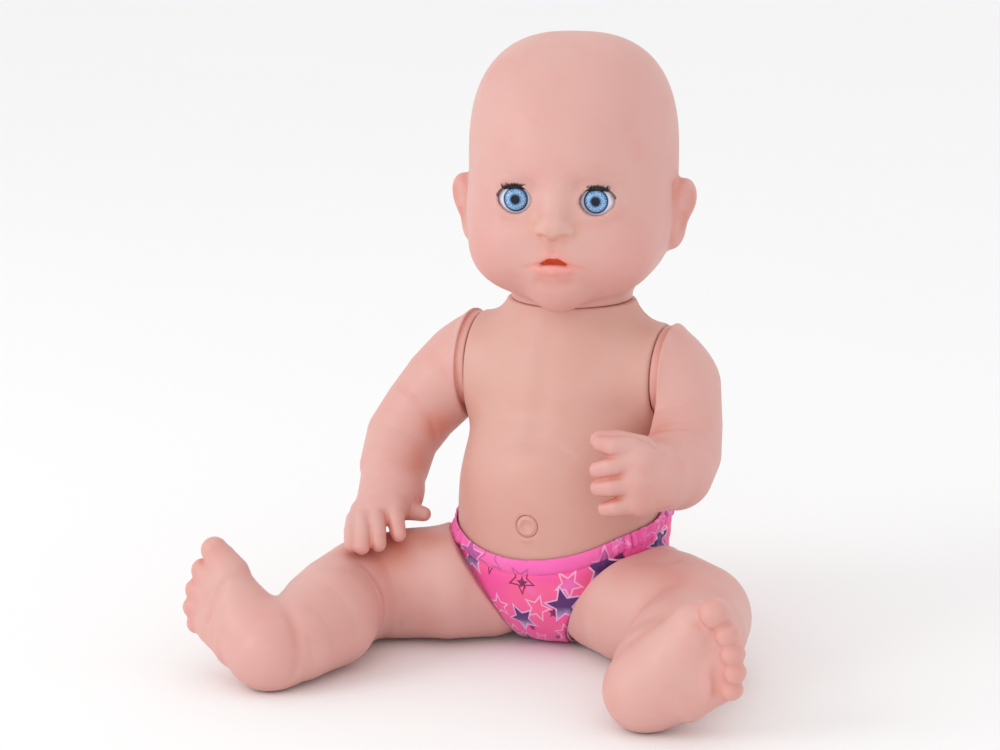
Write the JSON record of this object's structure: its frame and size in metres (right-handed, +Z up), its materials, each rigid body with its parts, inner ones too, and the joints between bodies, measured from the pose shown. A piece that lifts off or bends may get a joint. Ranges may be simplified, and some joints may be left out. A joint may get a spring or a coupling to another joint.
{
  "type": "interactive baby doll",
  "caption": "Sitting bald baby doll with soft vinyl head and limbs on a hard torso, sleeping eyes, navel button, battery sound unit and star-print panties.",
  "frame": {"origin": "on the floor under the middle of the seat, on the flat underside of the panties", "axes": "+Z up, the torso faces -Y, the doll's own left side is +X; the head is at rest turned 12 degrees to +X"},
  "size_m": [0.2418, 0.1975, 0.2579],
  "materials": {
    "torso_plastic": "hard satin plastic, skin coloured",
    "skin_vinyl": "soft satin vinyl with a pink blush",
    "mouth_vinyl": "satin, orange red",
    "printed_fabric": "stretch knit with a star print",
    "white_plastic": "satin",
    "grey_plastic": "satin",
    "black_plastic": "satin",
    "steel": "plain",
    "board_green": "solder mask",
    "battery_sleeve": "printed sleeve, plain",
    "red_wire": "insulated wire",
    "black_wire": "insulated wire",
    "eye_white": "gloss",
    "iris_blue": "gloss, rayed",
    "pupil_black": "gloss",
    "lash_fibre": "dark brown fibre"
  },
  "bodies": {
    "torso": {"torso_front_shell": "torso_plastic", "torso_back_shell": "torso_plastic", "torso_screws": "steel", "panties": "printed_fabric", "waist_elastic": "printed_fabric", "leg_elastics": "printed_fabric", "circuit_board": "board_green", "board_components": "black_plastic", "belly_switch": "black_plastic", "speaker_frame": "steel", "speaker_cone": "black_plastic", "speaker_magnet": "steel", "battery_box": "grey_plastic", "battery_contacts": "steel", "batteries": "battery_sleeve", "switch_housing": "black_plastic", "battery_wires": "red_wire", "speaker_wires": "black_wire", "navel_spring": "steel"},
    "battery_cover": {"battery_door": "torso_plastic", "battery_door_screw": "steel"},
    "power_switch": {"switch_slider": "white_plastic"},
    "navel": {"navel_button": "torso_plastic"},
    "head": {"head_shell": "skin_vinyl", "neck_plug": "white_plastic", "eye_carrier": "white_plastic", "mouth_cup": "mouth_vinyl", "mouth_switch": "black_plastic", "mouth_wires": "red_wire"},
    "eyes": {"eyeballs": "eye_white", "irises": "iris_blue", "pupils": "pupil_black", "eyelashes": "lash_fibre", "eye_axle": "steel", "eye_weight": "steel"},
    "arm_left": {"left_arm": "skin_vinyl", "left_arm_plug": "white_plastic"},
    "arm_right": {"right_arm": "skin_vinyl", "right_arm_plug": "white_plastic"},
    "leg_left": {"left_leg": "skin_vinyl", "left_leg_plug": "white_plastic"},
    "leg_right": {"right_leg": "skin_vinyl", "right_leg_plug": "white_plastic"}
  },
  "joints": [
    {"name": "neck_turn", "type": "hinge", "parent": "torso", "child": "head", "pos_m": [0, 0.003, 0.145], "axis": [0, 0, 1], "range_deg": [-72, 48]},
    {"name": "eyes_close", "type": "hinge", "parent": "head", "child": "eyes", "pos_m": [0.00749, -0.03221, 0.193], "axis": [0.9781, 0.2079, 0], "range_deg": [0, 60]},
    {"name": "left_shoulder", "type": "hinge", "parent": "torso", "child": "arm_left", "pos_m": [0.0417, 0.003, 0.115], "axis": [1, 0, 0], "range_deg": [-70, 12]},
    {"name": "right_shoulder", "type": "hinge", "parent": "torso", "child": "arm_right", "pos_m": [-0.0417, 0.003, 0.115], "axis": [1, 0, 0], "range_deg": [-120, 0]},
    {"name": "left_hip", "type": "hinge", "parent": "torso", "child": "leg_left", "pos_m": [0.033, -0.012, 0.0225], "axis": [0.76, -0.33, -0.56], "range_deg": [-20, 140]},
    {"name": "right_hip", "type": "hinge", "parent": "torso", "child": "leg_right", "pos_m": [-0.033, -0.012, 0.0225], "axis": [0.76, 0.33, 0.56], "range_deg": [0, 140]},
    {"name": "navel_press", "type": "slide", "parent": "torso", "child": "navel", "axis": [0, 1, 0], "range_m": [0, 0.0015], "stiffness_N_per_m": 400, "springref_m": -0.0005, "deforming": ["navel_spring"]},
    {"name": "power_slide", "type": "slide", "parent": "torso", "child": "power_switch", "axis": [0, 0, 1], "range_m": [0, 0.004]},
    {"name": "battery_cover_off", "type": "slide", "parent": "torso", "child": "battery_cover", "axis": [0, 1, 0], "range_m": [0, 0.03]}
  ]
}
